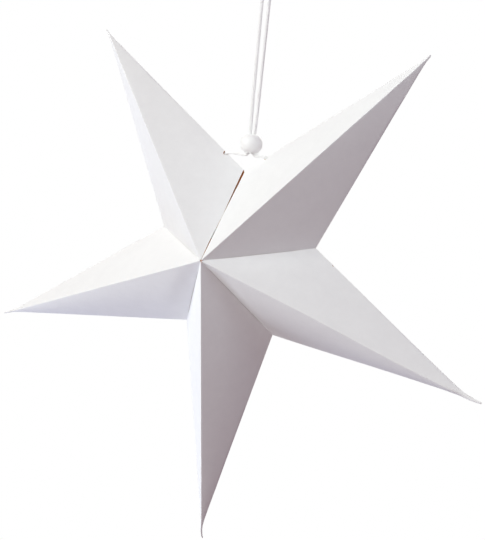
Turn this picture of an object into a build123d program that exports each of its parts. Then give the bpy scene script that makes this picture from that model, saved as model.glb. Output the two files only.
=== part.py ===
from build123d import *
from collections import namedtuple
from math import cos, radians, sin, tan
import os

# A five-pointed paper star of five folded arms, hung by a cord loop with a bead. The origin is
# where the loop bears on its hook, +Z is up along the taut cord, and the star's front faces -Y.
# Lengths are in millimetres. Angles are in degrees, clockwise from the top as seen from the front.

# The star as it hangs: its top seam gapes under its own weight, so its arms are a little uneven.
TIP_RADIUS = 290.0
VALLEY_RADIUS = 91.3
HALF_DEPTH = 80.4
UPPER_TIP = 40.0
SIDE_TIP = 110.2
UPPER_VALLEY = 77.0
LOWER_VALLEY = 146.2
SEAM_HALF_GAP = 1.0
STAR_DROP = 290.0
HANG_OFFSET = 4.9

# How far each tip is bent to the back, less than nothing to the front, and the length of the
# pinched end past the point where the arm's folds meet.
UPPER_LEFT_BEND = 10.4
UPPER_RIGHT_BEND = 0.0
RIGHT_BEND = -18.8
LOWER_BEND = -19.4
LEFT_BEND = -7.8
UPPER_LEFT_PINCH = 3.0
UPPER_RIGHT_PINCH = 1.5
RIGHT_PINCH = 12.0
LOWER_PINCH = 10.0
LEFT_PINCH = 8.0

# The folded sheet
PAPER = 0.4
FLAP_WIDTH = 12.0
FLAP_SETBACK = 12.0
APEX_NICK = 3.0
HOLE_CLEARANCE = 1.2
HOLE_FROM_VALLEY = 26.6
PIERCED_HOLE = 2.4
PINCH_ROOT = 5.0
PINCH_ROOT_WIDTH = 2.4
PINCH_END_WIDTH = 1.0

# Bead, cord and knots
CORD_DIAMETER = 3.6
LOOP_WIDTH = 8.5
BEAD_DIAMETER = 23.0
BEAD_ABOVE_VALLEY = 27.2
BORE_PLAY = 1.4
BORE_ROUNDING = 1.5
STRAND_CLEARANCE = 0.1
KNOT_DIAMETER = 11.0
KNOT_CLEARANCE = 0.1

cord_hole = CORD_DIAMETER + 2 * HOLE_CLEARANCE
bead_bore = 2 * CORD_DIAMETER + BORE_PLAY

Arm = namedtuple("Arm", "name tip_angle start_valley end_valley bend pinch start_hole end_hole")
ARMS = [
    Arm(
        "arm_upper_right",
        UPPER_TIP,
        SEAM_HALF_GAP,
        UPPER_VALLEY,
        UPPER_RIGHT_BEND,
        UPPER_RIGHT_PINCH,
        start_hole=cord_hole,
        end_hole=None,
    ),
    Arm(
        "arm_right",
        SIDE_TIP,
        UPPER_VALLEY,
        LOWER_VALLEY,
        RIGHT_BEND,
        RIGHT_PINCH,
        start_hole=PIERCED_HOLE,
        end_hole=None,
    ),
    Arm(
        "arm_lower",
        180,
        LOWER_VALLEY,
        -LOWER_VALLEY,
        LOWER_BEND,
        LOWER_PINCH,
        start_hole=None,
        end_hole=None,
    ),
    Arm(
        "arm_left",
        -SIDE_TIP,
        -LOWER_VALLEY,
        -UPPER_VALLEY,
        LEFT_BEND,
        LEFT_PINCH,
        start_hole=None,
        end_hole=None,
    ),
    Arm(
        "arm_upper_left",
        -UPPER_TIP,
        -UPPER_VALLEY,
        -SEAM_HALF_GAP,
        UPPER_LEFT_BEND,
        UPPER_LEFT_PINCH,
        start_hole=PIERCED_HOLE,
        end_hole=cord_hole,
    ),
]

centre = Vector(-HANG_OFFSET, 0, -STAR_DROP)
front_apex = centre - Vector(0, HALF_DEPTH, 0)
back_apex = centre + Vector(0, HALF_DEPTH, 0)


def outward(angle):
    """The direction from the star's centre at an angle from the top."""
    return Vector(sin(radians(angle)), 0, cos(radians(angle)))


def clockwise(angle):
    """The direction across that, in the star's plane, to its clockwise side."""
    return Vector(cos(radians(angle)), 0, -sin(radians(angle)))


def tip_of(arm):
    """The point where the four folds of an arm meet."""
    return centre + outward(arm.tip_angle) * TIP_RADIUS + Vector(0, arm.bend, 0)


def valley_at(angle):
    """The corner in the star's plane between two arms."""
    return centre + outward(angle) * VALLEY_RADIUS


def facet(arm, apex, valley_angle):
    """The plane of one of an arm's four facets, with its normal out of the star."""
    tip = tip_of(arm)
    to_valley = valley_at(valley_angle) - tip
    normal = (apex - tip).cross(to_valley).normalized()
    if normal.dot(tip - centre) < 0:
        normal = -normal
    return Plane(origin=tip, x_dir=to_valley, z_dir=normal)


def seam(angle, glued):
    """The plane in which two arms meet. At a glued seam the fold of the flap takes one thickness."""
    plane = Plane(origin=centre, x_dir=(0, 1, 0), z_dir=clockwise(angle))
    return plane.offset(PAPER) if glued else plane


def side_fold_hole(arm, valley_angle):
    """A plane on a side fold where a hole is punched, with its normal out of the star."""
    tip = tip_of(arm)
    valley = valley_at(valley_angle)
    spot = valley + (tip - valley).normalized() * HOLE_FROM_VALLEY
    front = facet(arm, front_apex, valley_angle)
    back = facet(arm, back_apex, valley_angle)
    return Plane(origin=spot, x_dir=tip - valley, z_dir=front.z_dir + back.z_dir)


def arm_pyramid(arm):
    """The outer form of an arm, from a diamond section behind the star's axis to the tip."""
    tip = tip_of(arm)
    along = outward(arm.tip_angle)
    base = Plane(origin=centre - along * APEX_NICK, x_dir=(0, 1, 0), z_dir=along)
    corners = []
    for point in (front_apex, valley_at(arm.start_valley), back_apex, valley_at(arm.end_valley)):
        stretch = (TIP_RADIUS + APEX_NICK) / (tip - point).dot(along)
        corners.append(base.to_local_coords(tip + (point - tip) * stretch))
    with BuildPart() as pyramid:
        with BuildSketch(base) as diamond:
            with BuildLine():
                Polyline(*[(corner.X, corner.Y) for corner in corners], close=True)
            make_face()
        loft(sections=[diamond.sketch.face(), Vertex(*tip)], ruled=True)
    return pyramid.part


def folded_arm(arm, next_arm):
    """One sheet folded into a hollow arm, with flaps under the next arm where they are glued."""
    tip = tip_of(arm)
    folds = [
        (front_apex, arm.start_valley),
        (front_apex, arm.end_valley),
        (back_apex, arm.start_valley),
        (back_apex, arm.end_valley),
    ]
    with BuildPart() as hollow:
        add(arm_pyramid(arm))
        for apex, valley_angle in folds:
            split(bisect_by=facet(arm, apex, valley_angle).offset(-PAPER), keep=Keep.BOTTOM)

    glued_at_start = arm is not ARMS[0]
    glued_at_end = arm is not ARMS[-1]
    with BuildPart() as sheet:
        add(arm_pyramid(arm))
        add(hollow.part, mode=Mode.SUBTRACT)
        split(bisect_by=seam(arm.start_valley, glued_at_start), keep=Keep.TOP)
        split(bisect_by=seam(arm.end_valley, glued_at_end), keep=Keep.BOTTOM)
        # Glue flaps, folded back under the next arm's front and back facets
        if glued_at_end:
            valley = valley_at(arm.end_valley)
            for apex in (front_apex, back_apex):
                inner = facet(next_arm, apex, arm.end_valley).offset(-PAPER)
                middle = inner.to_local_coords((apex + valley) * 0.5)
                seam_line = valley - apex
                if (-inner.z_dir).cross(seam_line).dot(tip_of(next_arm) - valley) < 0:
                    seam_line = -seam_line
                foot = inner.from_local_coords(Vector(middle.X, middle.Y, 0))
                half_base = seam_line.length / 2 - FLAP_SETBACK
                half_end = half_base - FLAP_WIDTH
                with BuildSketch(Plane(origin=foot, x_dir=seam_line, z_dir=-inner.z_dir)):
                    with BuildLine():
                        Polyline(
                            (-half_base, 0),
                            (half_base, 0),
                            (half_end, FLAP_WIDTH),
                            (-half_end, FLAP_WIDTH),
                            close=True,
                        )
                    make_face()
                extrude(amount=PAPER)
        # The tip, pinched flat across the star's plane
        along = (tip - centre).normalized()
        with BuildSketch(Plane(origin=tip, x_dir=along, z_dir=along.cross(clockwise(arm.tip_angle)))):
            with BuildLine():
                Polyline(
                    (-PINCH_ROOT, -PINCH_ROOT_WIDTH / 2),
                    (arm.pinch, -PINCH_END_WIDTH / 2),
                    (arm.pinch, PINCH_END_WIDTH / 2),
                    (-PINCH_ROOT, PINCH_ROOT_WIDTH / 2),
                    close=True,
                )
            make_face()
        extrude(amount=PAPER, both=True)
        # The corner at each apex is nipped off, and some side folds have a hole
        with Locations(Plane(origin=front_apex, z_dir=(0, -1, 0))):
            Hole(radius=APEX_NICK / 2)
        for valley_angle, diameter in (
            (arm.start_valley, arm.start_hole),
            (arm.end_valley, arm.end_hole),
        ):
            if diameter:
                with Locations(side_fold_hole(arm, valley_angle)):
                    Hole(radius=diameter / 2, depth=diameter)
    return sheet.part


os.makedirs("parts", exist_ok=True)

for index, arm in enumerate(ARMS):
    paper_arm = folded_arm(arm, ARMS[(index + 1) % len(ARMS)])
    paper_arm.label = arm.name
    export_step(paper_arm, f"parts/{arm.name}.step")

# Round bead with a rounded bore, over the open seam
bead_centre = Vector(0, 0, centre.Z + VALLEY_RADIUS + BEAD_ABOVE_VALLEY)
with BuildPart() as bead:
    with BuildSketch(Plane(origin=bead_centre, x_dir=(1, 0, 0), z_dir=(0, -1, 0))) as half_section:
        Circle(BEAD_DIAMETER / 2)
        with Locations((bead_bore / 2, 0)):
            Rectangle(BEAD_DIAMETER, BEAD_DIAMETER, align=(Align.MAX, Align.CENTER), mode=Mode.SUBTRACT)
        fillet(half_section.vertices(), BORE_ROUNDING)
    revolve(axis=Axis(bead_centre, (0, 0, 1)))
bead.part.label = "bead"
export_step(bead.part, "parts/bead.step")

# Stopper knots, drawn up inside the side folds on both sides of the open seam
knot_radius = KNOT_DIAMETER / 2
knot_seat = (knot_radius**2 - (CORD_DIAMETER / 2) ** 2) ** 0.5
left_hole = side_fold_hole(ARMS[-1], -SEAM_HALF_GAP)
right_hole = side_fold_hole(ARMS[0], SEAM_HALF_GAP)


def knot_plane(arm, hole, valley_angle):
    """The plane across the hole's axis through the knot's middle, with its normal out of the star."""
    slope = facet(arm, front_apex, valley_angle).z_dir.dot(hole.z_dir)
    return hole.offset(-(knot_radius + PAPER + KNOT_CLEARANCE) / slope)


left_knot = knot_plane(ARMS[-1], left_hole, -SEAM_HALF_GAP)
right_knot = knot_plane(ARMS[0], right_hole, SEAM_HALF_GAP)
with BuildPart() as cord_knots:
    for knot in (left_knot, right_knot):
        with BuildSketch(Plane(origin=knot.origin, x_dir=knot.x_dir, z_dir=-knot.y_dir)):
            with BuildLine():
                flat = Polyline((0, -knot_radius), (0, knot_seat), (CORD_DIAMETER / 2, knot_seat))
                ThreePointArc(flat @ 1, (knot_radius, 0), flat @ 0)
            make_face()
        revolve(axis=Axis(knot.origin, knot.z_dir))
cord_knots.part.label = "cord_knots"
export_step(cord_knots.part, "parts/cord_knots.step")

# The cord, from knot to knot: out of the left hole, up through the bead, round the loop, and back.
# Under the bead it turns out of the bore's rim, and over each hole it turns down into the arm.
strand_x = (bead_bore - CORD_DIAMETER) / 2 - STRAND_CLEARANCE
rim_centre_x = bead_bore / 2 + BORE_ROUNDING
bead_half = ((BEAD_DIAMETER / 2 - BORE_ROUNDING) ** 2 - rim_centre_x**2) ** 0.5 + BORE_ROUNDING
bore_top = bead_centre.Z + bead_half + 0.25 * CORD_DIAMETER
bore_end = bead_centre.Z - bead_half + 0.11 * CORD_DIAMETER
slack_x = 0.375 * LOOP_WIDTH
slack_z = 0.84 * bore_top
turn_x = strand_x + 0.4 * CORD_DIAMETER
turn_z = bore_end - 0.555 * CORD_DIAMETER
run_out_x = strand_x + 1.055 * CORD_DIAMETER
run_out_z = bore_end - 0.765 * CORD_DIAMETER
rise_at_hole = 0.36 * CORD_DIAMETER
left_side_y = left_hole.offset(rise_at_hole).origin.Y
route = [
    left_knot.offset(knot_seat).origin,
    left_hole.offset(rise_at_hole).origin,
    Vector(-run_out_x, 0.25 * left_side_y, run_out_z),
    Vector(-turn_x, 0.08 * left_side_y, turn_z),
    Vector(-strand_x, 0, bore_end),
    Vector(-strand_x, 0, bore_top),
    Vector(-slack_x, 0, slack_z),
    Vector(-LOOP_WIDTH / 2, 0, CORD_DIAMETER / 2),
    Vector(LOOP_WIDTH / 2, 0, CORD_DIAMETER / 2),
    Vector(slack_x, 0, slack_z),
    Vector(strand_x, 0, bore_top),
    Vector(strand_x, 0, bore_end),
    Vector(turn_x, 0, turn_z),
    Vector(run_out_x, 0, run_out_z),
    right_hole.offset(rise_at_hole).origin,
    right_knot.offset(knot_seat).origin,
]
arc_share = 0.45
radii = []
for before, corner, after in zip(route, route[1:], route[2:]):
    turn = (corner - before).get_angle(after - corner)
    shorter_run = min((corner - before).length, (after - corner).length)
    radii.append(arc_share * shorter_run / tan(radians(turn / 2)))

with BuildPart() as hanging_cord:
    with BuildLine() as path:
        FilletPolyline(*route, radius=radii)
    with BuildSketch(Plane(origin=path.line @ 0, z_dir=path.line % 0)):
        Circle(CORD_DIAMETER / 2)
    sweep()
hanging_cord.part.label = "hanging_cord"
export_step(hanging_cord.part, "parts/hanging_cord.step")
print("cord points", [tuple(round(value, 2) for value in point) for point in route])
print("cord radii", [round(radius, 2) for radius in radii])
print("cord length", round(path.wire().length, 1), "volume", round(hanging_cord.part.volume, 1))
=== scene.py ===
import math
from collections import namedtuple

import bmesh
import bpy
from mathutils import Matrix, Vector


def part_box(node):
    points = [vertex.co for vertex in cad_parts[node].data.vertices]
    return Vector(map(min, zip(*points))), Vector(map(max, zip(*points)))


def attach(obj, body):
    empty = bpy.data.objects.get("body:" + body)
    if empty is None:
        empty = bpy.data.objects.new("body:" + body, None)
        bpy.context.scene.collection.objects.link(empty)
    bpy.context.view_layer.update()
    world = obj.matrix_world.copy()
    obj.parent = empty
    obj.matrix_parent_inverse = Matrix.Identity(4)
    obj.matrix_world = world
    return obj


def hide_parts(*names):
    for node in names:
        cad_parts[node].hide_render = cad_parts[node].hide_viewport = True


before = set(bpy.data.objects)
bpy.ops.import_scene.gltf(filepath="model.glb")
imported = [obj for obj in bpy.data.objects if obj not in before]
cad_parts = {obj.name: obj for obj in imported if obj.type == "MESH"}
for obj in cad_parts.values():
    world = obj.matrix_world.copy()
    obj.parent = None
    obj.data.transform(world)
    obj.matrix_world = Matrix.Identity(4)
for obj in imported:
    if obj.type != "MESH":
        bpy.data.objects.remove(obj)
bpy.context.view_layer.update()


# Folded arms
# Five sheets of card, white outside, each folded along four lines that meet at its tip. Their inner
# faces and cut edges are coloured warm brown, which is painted light: the glow of light coming
# through the card into the hollow. Glue flaps under the seams join them in a ring, which stays open at
# the top seam.
TIP_RADIUS = 0.2900
VALLEY_RADIUS = 0.0913
HALF_DEPTH = 0.0804
UPPER_TIP = 40.0
SIDE_TIP = 110.2
UPPER_VALLEY = 77.0
LOWER_VALLEY = 146.2
SEAM_HALF_GAP = 1.0
STAR_CENTRE = Vector((-0.0049, 0, -0.2900))
PAPER = 0.0004
FOLD_ROUNDING = 0.0006
CORNER_NICK = 0.0006
WARP = 0.0016
TIP_TWIST_LENGTH = 0.19
FLAP_WIDTH = 0.012
FLAP_SETBACK = 0.012
GLUE_LINE = 0.00005
SEAM_SETBACK = 0.0004
SEAM_CLOSING = 0.95
CORD_HOLE = 0.006
PIERCED_HOLE = 0.0024
HOLE_FROM_VALLEY = 0.0266
FACET_DIVISIONS = 12
LENGTH_DIVISIONS = 48
SHARP_FOLD = 34.0

# Angles are in degrees clockwise from the top. Each tip is bent to the back by its bend, or to the
# front where that is below 0. Past the point where the folds meet, the pinch is the length of a flat
# end, as wide as the arm is at the tail reach and as deep as it is at the tail depth, and the pressed
# length leads over into it. The curl moves its end, and the twist, in radians, turns the last stretch.
# The bulges are shares of the facets' width, and the holes are diameters in the side folds.
Arm = namedtuple(
    "Arm",
    "name tip_angle start_valley end_valley"
    " bend pinch tail_reach tail_depth pressed_length"
    " curl twist start_bulge end_bulge start_hole end_hole",
)
ARMS = [
    Arm(
        "arm_upper_right", UPPER_TIP, SEAM_HALF_GAP, UPPER_VALLEY,
        bend=0, pinch=0.0015, tail_reach=0.0050, tail_depth=0.0050, pressed_length=0.005,
        curl=(0, 0, 0), twist=0, start_bulge=0.0, end_bulge=0.005,
        start_hole=CORD_HOLE, end_hole=None,
    ),
    Arm(
        "arm_right", SIDE_TIP, UPPER_VALLEY, LOWER_VALLEY,
        bend=-0.0188, pinch=0.012, tail_reach=0.0086, tail_depth=0.0020, pressed_length=0.015,
        curl=(0.001, 0, 0.002), twist=-0.22, start_bulge=0.02, end_bulge=0.08,
        start_hole=PIERCED_HOLE, end_hole=None,
    ),
    Arm(
        "arm_lower", 180, LOWER_VALLEY, -LOWER_VALLEY,
        bend=-0.0194, pinch=0.010, tail_reach=0.0045, tail_depth=0.0055, pressed_length=0.006,
        curl=(0.003, 0, 0), twist=0, start_bulge=0.02, end_bulge=0.01,
        start_hole=None, end_hole=None,
    ),
    Arm(
        "arm_left", -SIDE_TIP, -LOWER_VALLEY, -UPPER_VALLEY,
        bend=-0.0078, pinch=0.008, tail_reach=0.0040, tail_depth=0.0050, pressed_length=0.006,
        curl=(0, 0, 0), twist=0, start_bulge=0.06, end_bulge=0.0,
        start_hole=None, end_hole=None,
    ),
    Arm(
        "arm_upper_left", -UPPER_TIP, -UPPER_VALLEY, -SEAM_HALF_GAP,
        bend=0.0104, pinch=0.003, tail_reach=0.0030, tail_depth=0.0030, pressed_length=0.006,
        curl=(0, 0, 0), twist=0, start_bulge=0.0, end_bulge=0.0,
        start_hole=PIERCED_HOLE, end_hole=CORD_HOLE,
    ),
]

front_apex = STAR_CENTRE - Vector((0, HALF_DEPTH, 0))
back_apex = STAR_CENTRE + Vector((0, HALF_DEPTH, 0))


def outward(angle):
    """The direction from the star's centre at an angle clockwise from the top."""
    return Vector((math.sin(math.radians(angle)), 0, math.cos(math.radians(angle))))


def tip_of(arm):
    """The point where the four folds of an arm meet."""
    return STAR_CENTRE + outward(arm.tip_angle) * TIP_RADIUS + Vector((0, arm.bend, 0))


def valley_at(angle):
    """The corner in the star's plane between two arms."""
    return STAR_CENTRE + outward(angle) * VALLEY_RADIUS


def facet_normal(arm, apex, valley_angle):
    """The normal out of the star of one of an arm's four facets."""
    tip = tip_of(arm)
    normal = (apex - tip).cross(valley_at(valley_angle) - tip).normalized()
    return normal if normal.dot(tip - STAR_CENTRE) > 0 else -normal


def feed(tree, socket, value):
    """Sets a socket, or links it where the value comes from another node."""
    if isinstance(value, bpy.types.NodeSocket):
        tree.links.new(value, socket)
    else:
        socket.default_value = value


def number(tree, operation, *values, clamp=False):
    node = tree.nodes.new("ShaderNodeMath")
    node.operation = operation
    node.use_clamp = clamp
    for socket, value in zip(node.inputs, values):
        feed(tree, socket, value)
    return node.outputs["Value"]


def vector(tree, operation, *values):
    node = tree.nodes.new("ShaderNodeVectorMath")
    node.operation = operation
    sockets = [node.inputs[0], node.inputs["Scale"]] if operation == "SCALE" else node.inputs
    for socket, value in zip(sockets, values):
        feed(tree, socket, value)
    return node.outputs["Value" if operation in ("DOT_PRODUCT", "LENGTH") else "Vector"]


def add_node(tree, kind, settings=None, **inputs):
    """A node with its settings, and with its inputs given by name, an underscore for each space."""
    node = tree.nodes.new(kind)
    for name, value in (settings or {}).items():
        setattr(node, name, value)
    for name, value in inputs.items():
        feed(tree, node.inputs[name.replace("_", " ")], value)
    return node


def new_tree(name, inputs, output):
    """A Geometry Nodes tree with named inputs, its input sockets by name, and its output socket."""
    tree = bpy.data.node_groups.new(name, "GeometryNodeTree")
    for socket_name, kind in inputs:
        tree.interface.new_socket(name=socket_name, in_out="INPUT", socket_type=kind)
    tree.interface.new_socket(name=output, in_out="OUTPUT", socket_type="NodeSocketGeometry")
    sizes = tree.nodes.new("NodeGroupInput").outputs
    result = tree.nodes.new("NodeGroupOutput").inputs[output]
    return tree, sizes, result


def place_object(name, mesh):
    piece = bpy.data.objects.new(name, mesh)
    bpy.context.scene.collection.objects.link(piece)
    return piece


def settle(piece):
    """Turns a piece with its modifiers into a plain mesh."""
    evaluated = piece.evaluated_get(bpy.context.evaluated_depsgraph_get())
    mesh = bpy.data.meshes.new_from_object(evaluated)
    piece.modifiers.clear()
    piece.data = mesh


def grow(piece, tree, sizes):
    """Runs a tree on a piece with its inputs set by name, and keeps the plain mesh."""
    modifier = piece.modifiers.new(tree.name, "NODES")
    modifier.node_group = tree
    for item in tree.interface.items_tree:
        if item.in_out == "INPUT" and item.name in sizes:
            modifier[item.identifier] = sizes[item.name]
    settle(piece)


def new_material(name):
    material = bpy.data.materials.new(name)
    material.use_nodes = True
    tree = material.node_tree
    return material, tree, tree.nodes["Principled BSDF"]


def noise(tree, coordinates, scale, detail=3.0, roughness=0.5):
    node = add_node(tree, "ShaderNodeTexNoise", Vector=coordinates, Scale=scale, Detail=detail)
    node.inputs["Roughness"].default_value = roughness
    return node.outputs["Fac"]


def blend_colours(tree, factor, low, high):
    """A colour that goes from one to another as a factor goes from 0 to 1."""
    ramp = add_node(tree, "ShaderNodeValToRGB", Fac=factor)
    ramp.color_ramp.elements[0].color = (*low, 1)
    ramp.color_ramp.elements[1].color = (*high, 1)
    return ramp.outputs["Color"]


def spread_values(tree, factor, low, high):
    node = add_node(tree, "ShaderNodeMapRange", Value=factor)
    node.inputs["To Min"].default_value = low
    node.inputs["To Max"].default_value = high
    return node.outputs["Result"]


def raise_surface(tree, shader, height, strength, distance):
    bump = add_node(tree, "ShaderNodeBump", Height=height, Strength=strength, Distance=distance)
    tree.links.new(bump.outputs["Normal"], shader.inputs["Normal"])


def white_card():
    """Uncoated white card: faint cloudiness in the sheet, fine felt marks and a dry matte face."""
    material, tree, shader = new_material("white_card")
    place = tree.nodes.new("ShaderNodeTexCoord").outputs["Object"]
    clouds = noise(tree, place, scale=70, detail=7, roughness=0.8)
    felt = noise(tree, place, scale=1400, detail=5, roughness=0.7)
    colour = blend_colours(tree, clouds, low=(0.82, 0.82, 0.83), high=(0.92, 0.92, 0.925))
    tree.links.new(colour, shader.inputs["Base Color"])
    tree.links.new(spread_values(tree, felt, low=0.68, high=0.88), shader.inputs["Roughness"])
    shader.inputs["Specular IOR Level"].default_value = 0.25
    raise_surface(tree, shader, felt, strength=0.12, distance=0.00006)
    return material


def painted_glow_card():
    """The inner faces and cut edges of the card, fibrous, with light spreading inside it, in a warm
    brown that is painted light: the glow of light coming through the card into the hollow.
    """
    material, tree, shader = new_material("painted_glow_card")
    place = tree.nodes.new("ShaderNodeTexCoord").outputs["Object"]
    fibres = noise(tree, place, scale=900, detail=6, roughness=0.75)
    # The warm brown is painted light, for the glow of light that comes through the card into the
    # hollow
    colour = blend_colours(tree, fibres, low=(0.44, 0.29, 0.17), high=(0.60, 0.43, 0.27))
    tree.links.new(colour, shader.inputs["Base Color"])
    shader.inputs["Roughness"].default_value = 0.9
    shader.inputs["Specular IOR Level"].default_value = 0.2
    shader.inputs["Subsurface Weight"].default_value = 1.0
    shader.inputs["Subsurface Radius"].default_value = (1.0, 0.65, 0.40)
    shader.inputs["Subsurface Scale"].default_value = 0.0020
    raise_surface(tree, shader, fibres, strength=0.2, distance=0.00008)
    return material


def folded_arm_tree(card):
    """A cone of folds from the tip over the four corners of the arm's open end, without thickness."""
    tree, sizes, result = new_tree(
        "folded_arm",
        [
            ("Tip", "NodeSocketVector"),
            ("Front Apex", "NodeSocketVector"),
            ("End Valley", "NodeSocketVector"),
            ("Back Apex", "NodeSocketVector"),
            ("Start Valley", "NodeSocketVector"),
            ("Curl", "NodeSocketVector"),
            ("Twist", "NodeSocketFloat"),
            ("Twist Length", "NodeSocketFloat"),
            ("Pinch", "NodeSocketFloat"),
            ("Tail Reach", "NodeSocketFloat"),
            ("Tail Depth", "NodeSocketFloat"),
            ("Pressed Length", "NodeSocketFloat"),
            ("Fold Rounding", "NodeSocketFloat"),
            ("Corner Nick", "NodeSocketFloat"),
            ("Start Setback", "NodeSocketFloat"),
            ("Start Closing", "NodeSocketFloat"),
            ("End Closing", "NodeSocketFloat"),
            ("Start Bulge", "NodeSocketFloat"),
            ("End Bulge", "NodeSocketFloat"),
            ("Warp", "NodeSocketFloat"),
            ("Warp Seed", "NodeSocketFloat"),
            ("Facet Divisions", "NodeSocketInt"),
            ("Length Divisions", "NodeSocketInt"),
        ],
        "Arm",
    )

    def num(operation, *values, clamp=False):
        return number(tree, operation, *values, clamp=clamp)

    def vec(operation, *values):
        return vector(tree, operation, *values)

    # A flat grid, which runs four facets across and from the tip to the open end along. Its points
    # crowd towards the folds and the tip.
    facets = 4
    fold_crowding = 0.97
    tip_crowding = 1.5
    full_turn = 2 * math.pi
    grid = add_node(
        tree,
        "GeometryNodeMeshGrid",
        Size_X=1.0,
        Size_Y=1.0,
        Vertices_X=num("MULTIPLY_ADD", sizes["Facet Divisions"], facets, 1),
        Vertices_Y=num("ADD", sizes["Length Divisions"], 1),
    )
    position = tree.nodes.new("GeometryNodeInputPosition").outputs["Position"]
    cell = add_node(tree, "ShaderNodeSeparateXYZ", Vector=position).outputs
    around = num("MULTIPLY_ADD", cell["X"], facets, facets / 2)
    within = num("FRACT", around)
    wave = num("SINE", num("MULTIPLY", within, full_turn))
    eased = num("MULTIPLY_ADD", wave, -fold_crowding / full_turn, within)
    facet_place = num("ADD", num("FLOOR", around), eased)
    along = num("POWER", num("ADD", cell["Y"], 0.5), tip_crowding)

    # The edge of the open end, from corner to corner
    corners = [sizes[name] for name in ("Front Apex", "End Valley", "Back Apex", "Start Valley")]
    next_corners = corners[1:] + corners[:1]
    steps = [vec("SUBTRACT", after, before) for before, after in zip(corners, next_corners)]

    def open_edge(place):
        wrapped = num("FLOORED_MODULO", place, facets)
        point = corners[0]
        for index, step in enumerate(steps):
            share = num("SUBTRACT", wrapped, index, clamp=True)
            point = vec("MULTIPLY_ADD", step, share, point)
        return point

    middle = vec("SCALE", vec("ADD", sizes["Front Apex"], sizes["Back Apex"]), 0.5)
    arm_line = vec("SUBTRACT", middle, sizes["Tip"])
    arm_length = vec("LENGTH", arm_line)
    axis = vec("NORMALIZE", arm_line)
    depth_line = vec("SUBTRACT", (0, 1, 0), vec("SCALE", axis, vec("DOT_PRODUCT", (0, 1, 0), axis)))
    depth = vec("NORMALIZE", depth_line)

    # How far each point is from the tip along the arm, with the corners nipped at both apexes
    sharp_edge = vec("SUBTRACT", open_edge(facet_place), sizes["Tip"])
    reach = vec("DOT_PRODUCT", sharp_edge, axis)
    nip_span = 0.03
    from_apex = num("DIVIDE", num("PINGPONG", facet_place, 1), nip_span)
    nip = num("MULTIPLY", num("SUBTRACT", 1, from_apex, clamp=True), sizes["Corner Nick"])

    # The edge over the flap of the arm before stops short of the seam, as far as the flap goes
    flap_from = 0.12
    flap_grown = 0.10
    to_start = num("SUBTRACT", 1, num("ABSOLUTE", num("SUBTRACT", facet_place, 3)))
    to_seam_end = num("PINGPONG", facet_place, 0.5)
    over_flap = num("DIVIDE", num("SUBTRACT", to_seam_end, flap_from), flap_grown, clamp=True)
    at_start = num("GREATER_THAN", to_start, 0)
    setback = num("MULTIPLY", num("MULTIPLY", over_flap, at_start), sizes["Start Setback"])

    # The two free edges meet in the middle of the open seam and part towards both of its ends
    parted_to = 0.28
    parted_fade = 0.12
    apex_parting = -1.5
    open_from = 0.75
    open_fade = 0.18
    valley_closing = 0.22

    def closing(to_valley, gap):
        """How far an edge goes across the gap, by its share of the way from the apex to the valley."""
        inner = num("DIVIDE", num("SUBTRACT", to_valley, parted_to), parted_fade)
        inner = num("MAXIMUM", num("MINIMUM", inner, 1), apex_parting)
        outer = num("DIVIDE", num("SUBTRACT", open_from, to_valley), open_fade, clamp=True)
        outer = num("MAXIMUM", outer, valley_closing)
        on_edge = num("MAXIMUM", to_valley, 0)
        return num("MULTIPLY", num("MULTIPLY", inner, outer), num("MULTIPLY", on_edge, gap))

    to_end = num("SUBTRACT", 1, num("ABSOLUTE", num("SUBTRACT", facet_place, 1)))
    start_closed = closing(to_start, sizes["Start Closing"])
    end_closed = closing(to_end, sizes["End Closing"])
    closed = num("ADD", start_closed, end_closed)
    along_per_setback = 1.35
    edge_shift = num("MULTIPLY", num("SUBTRACT", setback, closed), along_per_setback)
    run = num("ADD", num("SUBTRACT", num("SUBTRACT", reach, nip), edge_shift), sizes["Pinch"])
    from_tip = num("SUBTRACT", num("MULTIPLY", along, run), sizes["Pinch"])

    # The folds are rounded by the same radius all along, as far as the narrow tip has room for it
    narrowest_at = 0.003
    widest_blur = 0.12
    edge_length = vec("LENGTH", steps[0])
    length_share = num("DIVIDE", num("MAXIMUM", from_tip, narrowest_at), arm_length)
    facet_span = num("MULTIPLY", edge_length, length_share)
    blur = num("MINIMUM", num("DIVIDE", sizes["Fold Rounding"], facet_span), widest_blur)
    edge_before = open_edge(num("SUBTRACT", facet_place, blur))
    edge_after = open_edge(num("ADD", facet_place, blur))
    rounded = vec("SUBTRACT", vec("SCALE", vec("ADD", edge_before, edge_after), 0.5), sizes["Tip"])
    rounded_reach = vec("DOT_PRODUCT", rounded, axis)
    sideways = vec("SUBTRACT", rounded, vec("SCALE", axis, rounded_reach))
    slope = vec("SCALE", sideways, num("DIVIDE", 1, rounded_reach))

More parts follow.
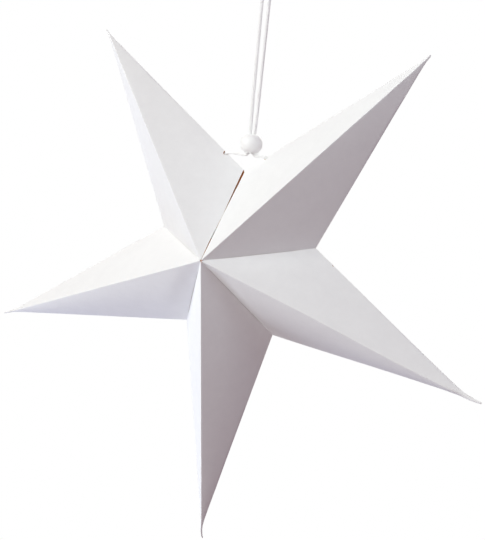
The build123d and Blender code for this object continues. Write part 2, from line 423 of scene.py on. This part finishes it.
    # Past the tip the sheet is two layers pressed flat, wider than the folds leave it, and tapering
    tail_taper = 0.45
    pressed_from = 0.3
    pressed_to = 1.3
    tail = num("DIVIDE", num("MULTIPLY", from_tip, -1), sizes["Pinch"], clamp=True)
    least = num("MULTIPLY", sizes["Tail Reach"], num("MULTIPLY_ADD", tail, -tail_taper, 1))
    above = num("SUBTRACT", from_tip, least)
    bow = num("SQRT", num("MULTIPLY_ADD", above, above, num("MULTIPLY", least, least)))
    width = num("MULTIPLY", num("ADD", num("ADD", from_tip, least), bow), 0.5)
    smooth = {"interpolation_type": "SMOOTHSTEP"}
    pressed = add_node(
        tree,
        "ShaderNodeMapRange",
        smooth,
        Value=from_tip,
        From_Min=num("MULTIPLY", sizes["Pressed Length"], pressed_from),
        From_Max=num("MULTIPLY", sizes["Pressed Length"], pressed_to),
    )
    open_share = pressed.outputs["Result"]
    flat_part = num("MULTIPLY", num("SUBTRACT", 1, open_share), sizes["Tail Depth"])
    thickness = num("MULTIPLY_ADD", open_share, width, flat_part)
    depth_slope = vec("DOT_PRODUCT", slope, depth)
    across = vec("SCALE", slope, width)
    deeper = vec("SCALE", depth, num("MULTIPLY", depth_slope, num("SUBTRACT", thickness, width)))
    past_end = num("GREATER_THAN", along, 0)
    section = vec("SCALE", vec("ADD", across, deeper), past_end)

    # The last stretch is twisted about its own line, most of all at the tip
    twisted_part = num("SUBTRACT", sizes["Twist Length"], from_tip)
    twist_share = num("DIVIDE", twisted_part, sizes["Twist Length"], clamp=True)
    turned = add_node(
        tree,
        "ShaderNodeVectorRotate",
        {"rotation_type": "AXIS_ANGLE"},
        Vector=section,
        Axis=axis,
        Angle=num("MULTIPLY", num("MULTIPLY", twist_share, twist_share), sizes["Twist"]),
    )

    # The pinched end curls, and the facets bulge, away from the open end, and are not quite even
    curl_from = 0.5
    unevenness_scale = 11
    held_flat = 0.03
    curl_start = num("MULTIPLY", sizes["Pressed Length"], curl_from)
    curl_share = num(
        "DIVIDE",
        num("SUBTRACT", curl_start, from_tip),
        num("ADD", curl_start, sizes["Pinch"]),
        clamp=True,
    )
    curl = vec("SCALE", sizes["Curl"], num("MULTIPLY", curl_share, curl_share))
    on_axis = vec("ADD", sizes["Tip"], vec("SCALE", axis, from_tip))
    spot = vec("ADD", on_axis, vec("ADD", turned.outputs["Vector"], curl))
    seeded = vec("ADD", spot, sizes["Warp Seed"])
    unevenness = num("SUBTRACT", noise(tree, seeded, scale=unevenness_scale, detail=1), 0.5)
    inside_facet = num("SINE", num("MULTIPLY", eased, math.pi))
    inside_length = num("MULTIPLY", num("MULTIPLY", along, num("SUBTRACT", 1, along)), 4)
    lift = num("MULTIPLY", num("MULTIPLY", inside_facet, inside_length), sizes["Warp"])
    from_base = num("MULTIPLY", num("SUBTRACT", 1, along), run)
    off_base = add_node(tree, "ShaderNodeMapRange", smooth, Value=from_base, From_Max=held_flat)
    start_side = num("GREATER_THAN", facet_place, facets / 2)
    end_side = num("SUBTRACT", 1, start_side)
    start_share = num("MULTIPLY", start_side, sizes["Start Bulge"])
    bulge_share = num("MULTIPLY_ADD", end_side, sizes["End Bulge"], start_share)
    bulge = num("MULTIPLY", num("MULTIPLY", inside_facet, facet_span), bulge_share)
    raised = num("MULTIPLY", bulge, off_base.outputs["Result"])
    warp = vec("SCALE", vec("NORMALIZE", sideways), num("MULTIPLY_ADD", unevenness, lift, raised))
    placed = add_node(
        tree,
        "GeometryNodeSetPosition",
        Geometry=grid.outputs["Mesh"],
        Position=vec("ADD", spot, warp),
    )
    weld_distance = 0.00002
    joined = add_node(
        tree,
        "GeometryNodeMergeByDistance",
        Geometry=placed.outputs["Geometry"],
        Distance=weld_distance,
    )
    outside = add_node(tree, "GeometryNodeFlipFaces", Mesh=joined.outputs["Geometry"])
    real = add_node(tree, "GeometryNodeRealizeInstances", Geometry=outside.outputs["Mesh"])
    finished = add_node(
        tree,
        "GeometryNodeSetMaterial",
        Geometry=real.outputs["Geometry"],
        Material=card,
    )
    tree.links.new(finished.outputs["Geometry"], result)
    return tree


def give_thickness(piece):
    """The thickness of the card, inwards, with the painted warm glow colour on its inner side and cut
    edges.
    """
    solidify = piece.modifiers.new("card", "SOLIDIFY")
    solidify.thickness = PAPER
    solidify.offset = -1
    solidify.thickness_clamp = 1.0
    solidify.material_offset = 1
    solidify.material_offset_rim = 1


def punched_holes(arm, material):
    """Round cutters across the side folds of an arm that have a hole."""
    tip = tip_of(arm)
    holes = ((arm.start_valley, arm.start_hole), (arm.end_valley, arm.end_hole))
    cutters = bmesh.new()
    for valley_angle, diameter in holes:
        if diameter is None:
            continue
        valley = valley_at(valley_angle)
        spot = valley + (tip - valley).normalized() * HOLE_FROM_VALLEY
        front_out = facet_normal(arm, front_apex, valley_angle)
        back_out = facet_normal(arm, back_apex, valley_angle)
        out = front_out + back_out
        turn = out.to_track_quat("Z", "Y").to_matrix().to_4x4()
        turn.translation = spot
        bmesh.ops.create_cone(
            cutters,
            cap_ends=True,
            segments=32,
            radius1=diameter / 2,
            radius2=diameter / 2,
            depth=2 * diameter,
            matrix=turn,
        )
    mesh = bpy.data.meshes.new("punch")
    cutters.to_mesh(mesh)
    cutters.free()
    mesh.materials.append(material)
    return place_object("punch", mesh)


def glue_flaps(arm, next_arm):
    """Front and back flaps, folded over at the seam and lying under the next arm's facets."""
    flaps = bmesh.new()
    valley = valley_at(arm.end_valley)
    for apex in (front_apex, back_apex):
        own_out = facet_normal(arm, apex, arm.end_valley)
        next_out = facet_normal(next_arm, apex, arm.end_valley)
        seam = (valley - apex).normalized()
        ends = [apex + seam * FLAP_SETBACK, valley - seam * FLAP_SETBACK]
        under = seam.cross(next_out).normalized()
        if under.dot(tip_of(next_arm) - valley) < 0:
            under = -under
        inner = next_out * -(PAPER + GLUE_LINE)
        fold = [end - own_out * PAPER / 2 for end in ends]
        base = [end + inner for end in ends]
        tips = [
            base[0] + under * FLAP_WIDTH + seam * FLAP_WIDTH,
            base[1] + under * FLAP_WIDTH - seam * FLAP_WIDTH,
        ]
        rows = [[flaps.verts.new(point) for point in row] for row in (fold, base, tips)]
        for near, far in zip(rows, rows[1:]):
            face = flaps.faces.new((near[0], near[1], far[1], far[0]))
            face.normal_update()
            if face.normal.dot(next_out) < 0:
                face.normal_flip()
    mesh = bpy.data.meshes.new("flaps")
    flaps.to_mesh(mesh)
    flaps.free()
    return place_object("flaps", mesh)


def join_meshes(piece, *others):
    """Adds other pieces' meshes to a piece's own, and removes them."""
    joined = bmesh.new()
    joined.from_mesh(piece.data)
    for other in others:
        joined.from_mesh(other.data)
        bpy.data.objects.remove(other)
    joined.to_mesh(piece.data)
    joined.free()


card_outside = white_card()
card_inside = painted_glow_card()
arm_tree = folded_arm_tree(card_outside)
seam_half_gap = VALLEY_RADIUS * math.sin(math.radians(SEAM_HALF_GAP)) * SEAM_CLOSING
for index, arm in enumerate(ARMS):
    piece = place_object("folded_" + arm.name, bpy.data.meshes.new(arm.name))
    grow(
        piece,
        arm_tree,
        {
            "Tip": tip_of(arm),
            "Front Apex": front_apex,
            "End Valley": valley_at(arm.end_valley),
            "Back Apex": back_apex,
            "Start Valley": valley_at(arm.start_valley),
            "Curl": arm.curl,
            "Twist": arm.twist,
            "Twist Length": TIP_TWIST_LENGTH,
            "Pinch": arm.pinch,
            "Tail Reach": arm.tail_reach,
            "Tail Depth": arm.tail_depth,
            "Pressed Length": arm.pressed_length,
            "Fold Rounding": FOLD_ROUNDING,
            "Corner Nick": CORNER_NICK,
            "Start Setback": 0.0 if arm is ARMS[0] else SEAM_SETBACK,
            "Start Closing": seam_half_gap if arm is ARMS[0] else 0.0,
            "End Closing": seam_half_gap if arm is ARMS[-1] else 0.0,
            "Start Bulge": arm.start_bulge,
            "End Bulge": arm.end_bulge,
            "Warp": WARP,
            "Warp Seed": float(index),
            "Facet Divisions": FACET_DIVISIONS,
            "Length Divisions": LENGTH_DIVISIONS,
        },
    )
    piece.data.materials.append(card_inside)
    give_thickness(piece)
    if arm.start_hole or arm.end_hole:
        punch = punched_holes(arm, card_inside)
        cut = piece.modifiers.new("punched holes", "BOOLEAN")
        cut.operation = "DIFFERENCE"
        cut.object = punch
        cut.material_mode = "TRANSFER"
        settle(piece)
        bpy.data.objects.remove(punch)
    else:
        settle(piece)
    if arm is not ARMS[-1]:
        flaps = glue_flaps(arm, ARMS[index + 1])
        flaps.data.materials.append(card_outside)
        flaps.data.materials.append(card_inside)
        give_thickness(flaps)
        settle(flaps)
        join_meshes(piece, flaps)
    piece.data.shade_smooth()
    piece.data.set_sharp_from_angle(angle=math.radians(SHARP_FOLD))
    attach(piece, "root")
    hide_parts(arm.name)


# Bead
# A round wooden bead, turned and painted matte white, with its bore's rims rounded over. It slides on
# both strands of the cord and is drawn down to hold the open seam together.
BEAD_RADIUS = 0.0115
BORE_RADIUS = 0.0043
BORE_ROUNDING = 0.0015
BEAD_STEPS = 72
BEAD_WELD = 0.000005


def bead_profile():
    """The closed half section of the bead: its round outside, its rounded rims and its bore."""
    rim_x = BORE_RADIUS + BORE_ROUNDING
    rim_z = math.sqrt((BEAD_RADIUS - BORE_ROUNDING) ** 2 - rim_x**2)
    rim_angle = math.atan2(rim_z, rim_x)
    outside_steps = 40
    rim_steps = 6
    points = []
    for step in range(outside_steps + 1):
        angle = rim_angle * (1 - 2 * step / outside_steps)
        points.append((BEAD_RADIUS * math.cos(angle), BEAD_RADIUS * math.sin(angle)))
    for step in range(1, rim_steps + 1):
        angle = -rim_angle - (math.pi - rim_angle) * step / rim_steps
        across = rim_x + BORE_ROUNDING * math.cos(angle)
        points.append((across, -rim_z + BORE_ROUNDING * math.sin(angle)))
    for step in range(rim_steps):
        angle = math.pi - (math.pi - rim_angle) * step / rim_steps
        across = rim_x + BORE_ROUNDING * math.cos(angle)
        points.append((across, rim_z + BORE_ROUNDING * math.sin(angle)))
    return points


def matte_paint():
    """Matte white paint, a little uneven over the turned wood, with light spreading inside it."""
    material, tree, shader = new_material("bead_paint")
    place = tree.nodes.new("ShaderNodeTexCoord").outputs["Object"]
    coats = noise(tree, place, scale=420, detail=3, roughness=0.55)
    colour = blend_colours(tree, coats, low=(0.92, 0.92, 0.92), high=(0.95, 0.95, 0.95))
    tree.links.new(colour, shader.inputs["Base Color"])
    shader.inputs["Subsurface Weight"].default_value = 1.0
    shader.inputs["Subsurface Radius"].default_value = (1, 1, 1)
    shader.inputs["Subsurface Scale"].default_value = 0.010
    tree.links.new(spread_values(tree, coats, low=0.42, high=0.62), shader.inputs["Roughness"])
    raise_surface(tree, shader, coats, strength=0.15, distance=0.0002)
    return material


bead_low, bead_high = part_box("bead")
bead_centre = (Vector(bead_low) + Vector(bead_high)) / 2
turned = bmesh.new()
profile = [turned.verts.new((x, 0, z)) for x, z in bead_profile()]
rim_edges = [turned.edges.new((a, b)) for a, b in zip(profile, profile[1:] + profile[:1])]
bmesh.ops.spin(
    turned,
    geom=profile + rim_edges,
    cent=(0, 0, 0),
    axis=(0, 0, 1),
    angle=2 * math.pi,
    steps=BEAD_STEPS,
    use_merge=True,
)
bmesh.ops.remove_doubles(turned, verts=turned.verts, dist=BEAD_WELD)
bmesh.ops.recalc_face_normals(turned, faces=turned.faces)
bmesh.ops.translate(turned, verts=turned.verts, vec=bead_centre)
bead_mesh = bpy.data.meshes.new("bead")
turned.to_mesh(bead_mesh)
turned.free()
bead_mesh.materials.append(matte_paint())
bead_mesh.shade_smooth()
bead = place_object("painted_bead", bead_mesh)
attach(bead, "root")
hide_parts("bead")


# Hanging cord
# One length of three-ply twisted cotton. It leaves a hole in the upper left arm, goes up through the
# bead, round the hook at the origin and back down through the bead into the upper right arm.
CORD_DIAMETER = 0.0036
PLY_RADIUS = 0.00084
PLY_OFFSET = CORD_DIAMETER / 2 - PLY_RADIUS
TWIST_LENGTH = 0.0110

# The route's control points, from the knot in the upper left arm to the one in the upper right arm
CORD_ROUTE = [
    (-0.02988, 0.00127, -0.18576),
    (-0.02743, 0.00120, -0.18230),
    (-0.00620, 0.00030, -0.18350),
    (-0.00384, 0.00010, -0.18275),
    (-0.00240, 0, -0.18075),
    (-0.00240, 0, -0.17825),
    (-0.00240, 0, -0.16095),
    (-0.00319, 0, -0.13520),
    (-0.00341, 0, -0.10800),
    (-0.00408, 0, -0.02000),
    (-0.00425, 0, 0.00180),
    (0.00425, 0, 0.00180),
    (0.00408, 0, -0.02000),
    (0.00341, 0, -0.10800),
    (0.00319, 0, -0.13520),
    (0.00240, 0, -0.16095),
    (0.00240, 0, -0.17825),
    (0.00240, 0, -0.18075),
    (0.00384, 0, -0.18275),
    (0.00620, 0, -0.18350),
    (0.01765, 0, -0.18228),
    (0.02010, 0, -0.18574),
]


def cotton():
    """White cotton yarn: fine fibres that run slantwise round each ply, with painted shade between
    their ridges and a soft sheen.
    """
    material, tree, shader = new_material("cotton_cord")
    fibre_turns = 9.0
    fibre_pitch = 0.0022
    ridge_share = 0.25
    along = add_node(tree, "ShaderNodeAttribute", {"attribute_name": "along_cord"})
    round_ply = add_node(tree, "ShaderNodeAttribute", {"attribute_name": "around_ply"})
    slant = number(tree, "DIVIDE", along.outputs["Fac"], fibre_pitch)
    phase = number(tree, "MULTIPLY_ADD", round_ply.outputs["Fac"], fibre_turns, slant)
    fibre_ridges_and_shade = number(tree, "SINE", number(tree, "MULTIPLY", phase, 2 * math.pi))
    place = tree.nodes.new("ShaderNodeTexCoord").outputs["Object"]
    fuzz = noise(tree, place, scale=2500, detail=3, roughness=0.6)
    fibres = number(tree, "MULTIPLY_ADD", fibre_ridges_and_shade, ridge_share, fuzz)
    # The fibre ridges also darken the base colour between them: painted shade in the grooves between
    # the fibres
    colour = blend_colours(tree, fibres, low=(0.95, 0.95, 0.95), high=(0.98, 0.98, 0.98))
    tree.links.new(colour, shader.inputs["Base Color"])
    shader.inputs["Roughness"].default_value = 0.9
    shader.inputs["Sheen Weight"].default_value = 1.0
    shader.inputs["Sheen Roughness"].default_value = 0.6
    raise_surface(tree, shader, fibres, strength=0.4, distance=0.0001)
    return material


def twisted_cord_tree(yarn):
    """Three plies laid in a helix round a path, each a round yarn with capped ends."""
    tree, sizes, result = new_tree(
        "twisted_cord",
        [
            ("Path", "NodeSocketGeometry"),
            ("Ply Radius", "NodeSocketFloat"),
            ("Ply Offset", "NodeSocketFloat"),
            ("Twist Length", "NodeSocketFloat"),
        ],
        "Cord",
    )
    plies = 3
    ply_sides = 10
    samples_per_twist = 16
    full_turn = 2 * math.pi
    line = add_node(tree, "GeometryNodeMeshToCurve", Mesh=sizes["Path"])
    spacing = number(tree, "DIVIDE", sizes["Twist Length"], samples_per_twist)
    even = add_node(
        tree,
        "GeometryNodeResampleCurve",
        {"mode": "LENGTH"},
        Curve=line.outputs["Curve"],
        Length=spacing,
    )
    steady = add_node(tree, "GeometryNodeSetCurveNormal", Curve=even.outputs["Curve"])
    along = tree.nodes.new("GeometryNodeSplineParameter").outputs["Length"]
    marked = add_node(
        tree,
        "GeometryNodeStoreNamedAttribute",
        {"data_type": "FLOAT", "domain": "POINT"},
        Geometry=steady.outputs["Curve"],
        Name="along_cord",
        Value=along,
    )
    circle = add_node(
        tree,
        "GeometryNodeCurvePrimitiveCircle",
        Resolution=ply_sides,
        Radius=sizes["Ply Radius"],
    )
    round_ply = add_node(
        tree,
        "GeometryNodeStoreNamedAttribute",
        {"data_type": "FLOAT", "domain": "POINT"},
        Geometry=circle.outputs["Curve"],
        Name="around_ply",
        Value=tree.nodes.new("GeometryNodeSplineParameter").outputs["Factor"],
    )
    tangent = tree.nodes.new("GeometryNodeInputTangent").outputs["Tangent"]
    normal = tree.nodes.new("GeometryNodeInputNormal").outputs["Normal"]
    binormal = vector(tree, "CROSS_PRODUCT", tangent, normal)
    turns = number(tree, "DIVIDE", along, sizes["Twist Length"])
    turn = number(tree, "MULTIPLY", turns, full_turn)
    gathered = tree.nodes.new("GeometryNodeJoinGeometry")
    for ply in range(plies):
        angle = number(tree, "ADD", turn, full_turn * ply / plies)
        out = vector(tree, "SCALE", normal, number(tree, "COSINE", angle))
        over = vector(tree, "SCALE", binormal, number(tree, "SINE", angle))
        shift = vector(tree, "SCALE", vector(tree, "ADD", out, over), sizes["Ply Offset"])
        laid = add_node(
            tree,
            "GeometryNodeSetPosition",
            Geometry=marked.outputs["Geometry"],
            Offset=shift,
        )
        yarn_tube = add_node(
            tree,
            "GeometryNodeCurveToMesh",
            Curve=laid.outputs["Geometry"],
            Profile_Curve=round_ply.outputs["Geometry"],
            Fill_Caps=True,
        )
        tree.links.new(yarn_tube.outputs["Mesh"], gathered.inputs["Geometry"])
    real = add_node(tree, "GeometryNodeRealizeInstances", Geometry=gathered.outputs["Geometry"])
    finished = add_node(
        tree,
        "GeometryNodeSetMaterial",
        Geometry=real.outputs["Geometry"],
        Material=yarn,
    )
    tree.links.new(finished.outputs["Geometry"], result)
    return tree


def route_line(points):
    """The points of a smooth NURBS line that has the given points as its control points."""
    curve = bpy.data.curves.new("route", "CURVE")
    curve.dimensions = "3D"
    curve.resolution_u = 24
    spline = curve.splines.new("NURBS")
    spline.points.add(len(points) - 1)
    for point, place in zip(spline.points, points):
        point.co = (*place, 1)
    spline.order_u = 3
    spline.use_endpoint_u = True
    guide = place_object("route", curve)
    evaluated = guide.evaluated_get(bpy.context.evaluated_depsgraph_get())
    line = bpy.data.meshes.new_from_object(evaluated)
    bpy.data.objects.remove(guide)
    return line


cotton_yarn = cotton()
cord_tree = twisted_cord_tree(cotton_yarn)
cord_sizes = {"Ply Radius": PLY_RADIUS, "Ply Offset": PLY_OFFSET, "Twist Length": TWIST_LENGTH}
cord_line = route_line(CORD_ROUTE)
cord = place_object("twisted_cord", cord_line)
grow(cord, cord_tree, cord_sizes)
cord.data.shade_smooth()


# Stopper knots
# The two ends of the same cotton cord, each tied in an overhand knot inside its arm and pulled up
# tight against the punched hole.
KNOT_REACH = 0.0036
KNOT_HEIGHT = 0.0017
KNOT_POINTS = 96


def overhand_line(centre, axis):
    """A closed overhand turn round an axis, as the points of a thin line."""
    turn = axis.to_track_quat("Z", "Y").to_matrix()
    points = []
    for step in range(KNOT_POINTS):
        angle = 2 * math.pi * step / KNOT_POINTS
        flat_x = (math.sin(angle) + 2 * math.sin(2 * angle)) / 3
        flat_y = (math.cos(angle) - 2 * math.cos(2 * angle)) / 3
        lift = -math.sin(3 * angle)
        spot = Vector((flat_x * KNOT_REACH, flat_y * KNOT_REACH, lift * KNOT_HEIGHT))
        points.append(centre + turn @ spot)
    return points


knot_low, knot_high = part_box("cord_knots")
knot_radius = (knot_high[2] - knot_low[2]) / 2
knot_level = (knot_low[2] + knot_high[2]) / 2
knots_mesh = bpy.data.meshes.new("knots")
knot_points = []
for end, after, side_x in (
    (CORD_ROUTE[0], CORD_ROUTE[1], knot_low[0] + knot_radius),
    (CORD_ROUTE[-1], CORD_ROUTE[-2], knot_high[0] - knot_radius),
):
    pull = (Vector(after) - Vector(end)).normalized()
    knot_points.append(overhand_line(Vector((side_x, end[1], knot_level)), pull))
knot_edges = []
for index in range(len(knot_points)):
    first = index * KNOT_POINTS
    knot_edges += [(first + step, first + (step + 1) % KNOT_POINTS) for step in range(KNOT_POINTS)]
knots_mesh.from_pydata([point for points in knot_points for point in points], knot_edges, [])
knots = place_object("stopper_knots", knots_mesh)
grow(knots, cord_tree, cord_sizes)
knots.data.shade_smooth()
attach(knots, "root")
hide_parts("cord_knots")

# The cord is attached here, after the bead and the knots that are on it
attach(cord, "root")
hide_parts("hanging_cord")


# Floor and light
# A plain pale floor well below the star, fading into a white surround. One large soft light stands to
# the left of the camera and above it, with weak ones to the right, to the left and below the star, and
# a larger one behind the star. Their tints give the facets their faint warm and cool whites.
FLOOR_LEVEL = -3.0
FLOOR_RADIUS = 3.6
FLOOR_FADE = 2.2
FLOOR_WHITENESS = 0.45
AMBIENT_COLOUR = (1.0, 0.61, 0.73, 1)
AMBIENT_STRENGTH = 0.208


def seen_directly(tree):
    """1 for what the camera sees, directly or in a reflection or through something, and else 0."""
    light_path = tree.nodes.new("ShaderNodeLightPath").outputs
    seen = number(tree, "MAXIMUM", light_path["Is Camera Ray"], light_path["Is Glossy Ray"])
    return number(tree, "MAXIMUM", seen, light_path["Is Transmission Ray"])


def pale_floor():
    """A pale matte floor, seen whitened all over, that fades into the white surround at its edge."""
    material, tree, shader = new_material("pale_floor")
    shader.inputs["Base Color"].default_value = (0.86, 0.86, 0.87, 1)
    shader.inputs["Roughness"].default_value = 0.9
    place = tree.nodes.new("ShaderNodeTexCoord").outputs["Object"]
    flat_place = vector(tree, "MULTIPLY", place, (1, 1, 0))
    distance = vector(tree, "LENGTH", flat_place)
    fade = add_node(
        tree,
        "ShaderNodeMapRange",
        {"interpolation_type": "SMOOTHSTEP"},
        Value=distance,
        From_Min=FLOOR_FADE,
        From_Max=FLOOR_RADIUS,
        To_Min=FLOOR_WHITENESS,
    )
    white = tree.nodes.new("ShaderNodeEmission")
    share = number(tree, "MULTIPLY", fade.outputs["Result"], seen_directly(tree))
    mixed = tree.nodes.new("ShaderNodeMixShader")
    tree.links.new(share, mixed.inputs["Fac"])
    tree.links.new(shader.outputs["BSDF"], mixed.inputs[1])
    tree.links.new(white.outputs["Emission"], mixed.inputs[2])
    tree.links.new(mixed.outputs["Shader"], tree.nodes["Material Output"].inputs["Surface"])
    return material


floor_disc = bmesh.new()
bmesh.ops.create_circle(floor_disc, cap_ends=True, segments=96, radius=FLOOR_RADIUS)
bmesh.ops.translate(floor_disc, verts=floor_disc.verts, vec=(0, 0, FLOOR_LEVEL))
floor_mesh = bpy.data.meshes.new("floor")
floor_disc.to_mesh(floor_mesh)
floor_disc.free()
floor_mesh.materials.append(pale_floor())
place_object("floor", floor_mesh)

world = bpy.data.worlds.new("white_surround")
bpy.context.scene.world = world
world.use_nodes = True
surround = world.node_tree
ambient = surround.nodes["Background"]
ambient.inputs["Color"].default_value = AMBIENT_COLOUR
ambient.inputs["Strength"].default_value = AMBIENT_STRENGTH
white_view = surround.nodes.new("ShaderNodeBackground")
white_view.inputs["Color"].default_value = (1, 1, 1, 1)
seen_world = surround.nodes.new("ShaderNodeMixShader")
surround.links.new(seen_directly(surround), seen_world.inputs["Fac"])
surround.links.new(ambient.outputs["Background"], seen_world.inputs[1])
surround.links.new(white_view.outputs["Background"], seen_world.inputs[2])
surround.links.new(seen_world.outputs["Shader"], surround.nodes["World Output"].inputs["Surface"])


def soft_light(name, azimuth, elevation, distance, size, power, colour):
    """A square soft light that faces the star's centre from an azimuth to the right of the front."""
    lamp = bpy.data.lights.new(name, "AREA")
    lamp.size = size
    lamp.energy = power
    lamp.color = colour
    turn = math.radians(azimuth)
    rise = math.radians(elevation)
    level = math.cos(rise)
    aim = Vector((math.sin(turn) * level, -math.cos(turn) * level, math.sin(rise)))
    holder = place_object(name, lamp)
    holder.location = STAR_CENTRE + aim * distance
    holder.rotation_euler = aim.to_track_quat("Z", "Y").to_euler()


soft_light(
    "main_light", azimuth=-25, elevation=25, distance=2.4, size=1.5, power=51.4,
    colour=(0.925, 1.0, 0.945),
)
soft_light(
    "right_light", azimuth=55, elevation=38, distance=0.8, size=0.4, power=1.0,
    colour=(0.76, 0.93, 1.0),
)
soft_light(
    "low_light", azimuth=-88, elevation=-50, distance=1.0, size=0.7, power=4.7,
    colour=(0.66, 0.80, 1.0),
)
soft_light(
    "left_light", azimuth=-70, elevation=0, distance=1.2, size=0.7, power=1.1,
    colour=(1.0, 1.0, 0.95),
)
soft_light(
    "back_light", azimuth=188, elevation=32, distance=2.4, size=1.8, power=52,
    colour=(0.95, 1.0, 0.95),
)


# Camera
# It stands to the right of the star's front, a little above its middle, and is tilted so that the
# cord leans in the picture.
CAMERA_PLACE = Vector((0.6247, -1.3141, -0.1316))
CAMERA_LOOK = Vector((-0.4241, 0.8980, -0.1173))
CAMERA_UP = Vector((-0.1396, 0.0631, 0.9882))
CAMERA_LENS = 93.33
CAMERA_SENSOR = 36.0

lens = bpy.data.cameras.new("camera")
lens.lens = CAMERA_LENS
lens.sensor_width = CAMERA_SENSOR
camera = place_object("camera", lens)
back = -CAMERA_LOOK.normalized()
right = CAMERA_UP.cross(back).normalized()
level = back.cross(right)
turned_to = camera.matrix_world.copy()
for column, direction in enumerate((right, level, back)):
    for row in range(3):
        turned_to[row][column] = direction[row]
turned_to.translation = CAMERA_PLACE
camera.matrix_world = turned_to
bpy.context.scene.camera = camera
bpy.context.scene.view_settings.view_transform = "Standard"
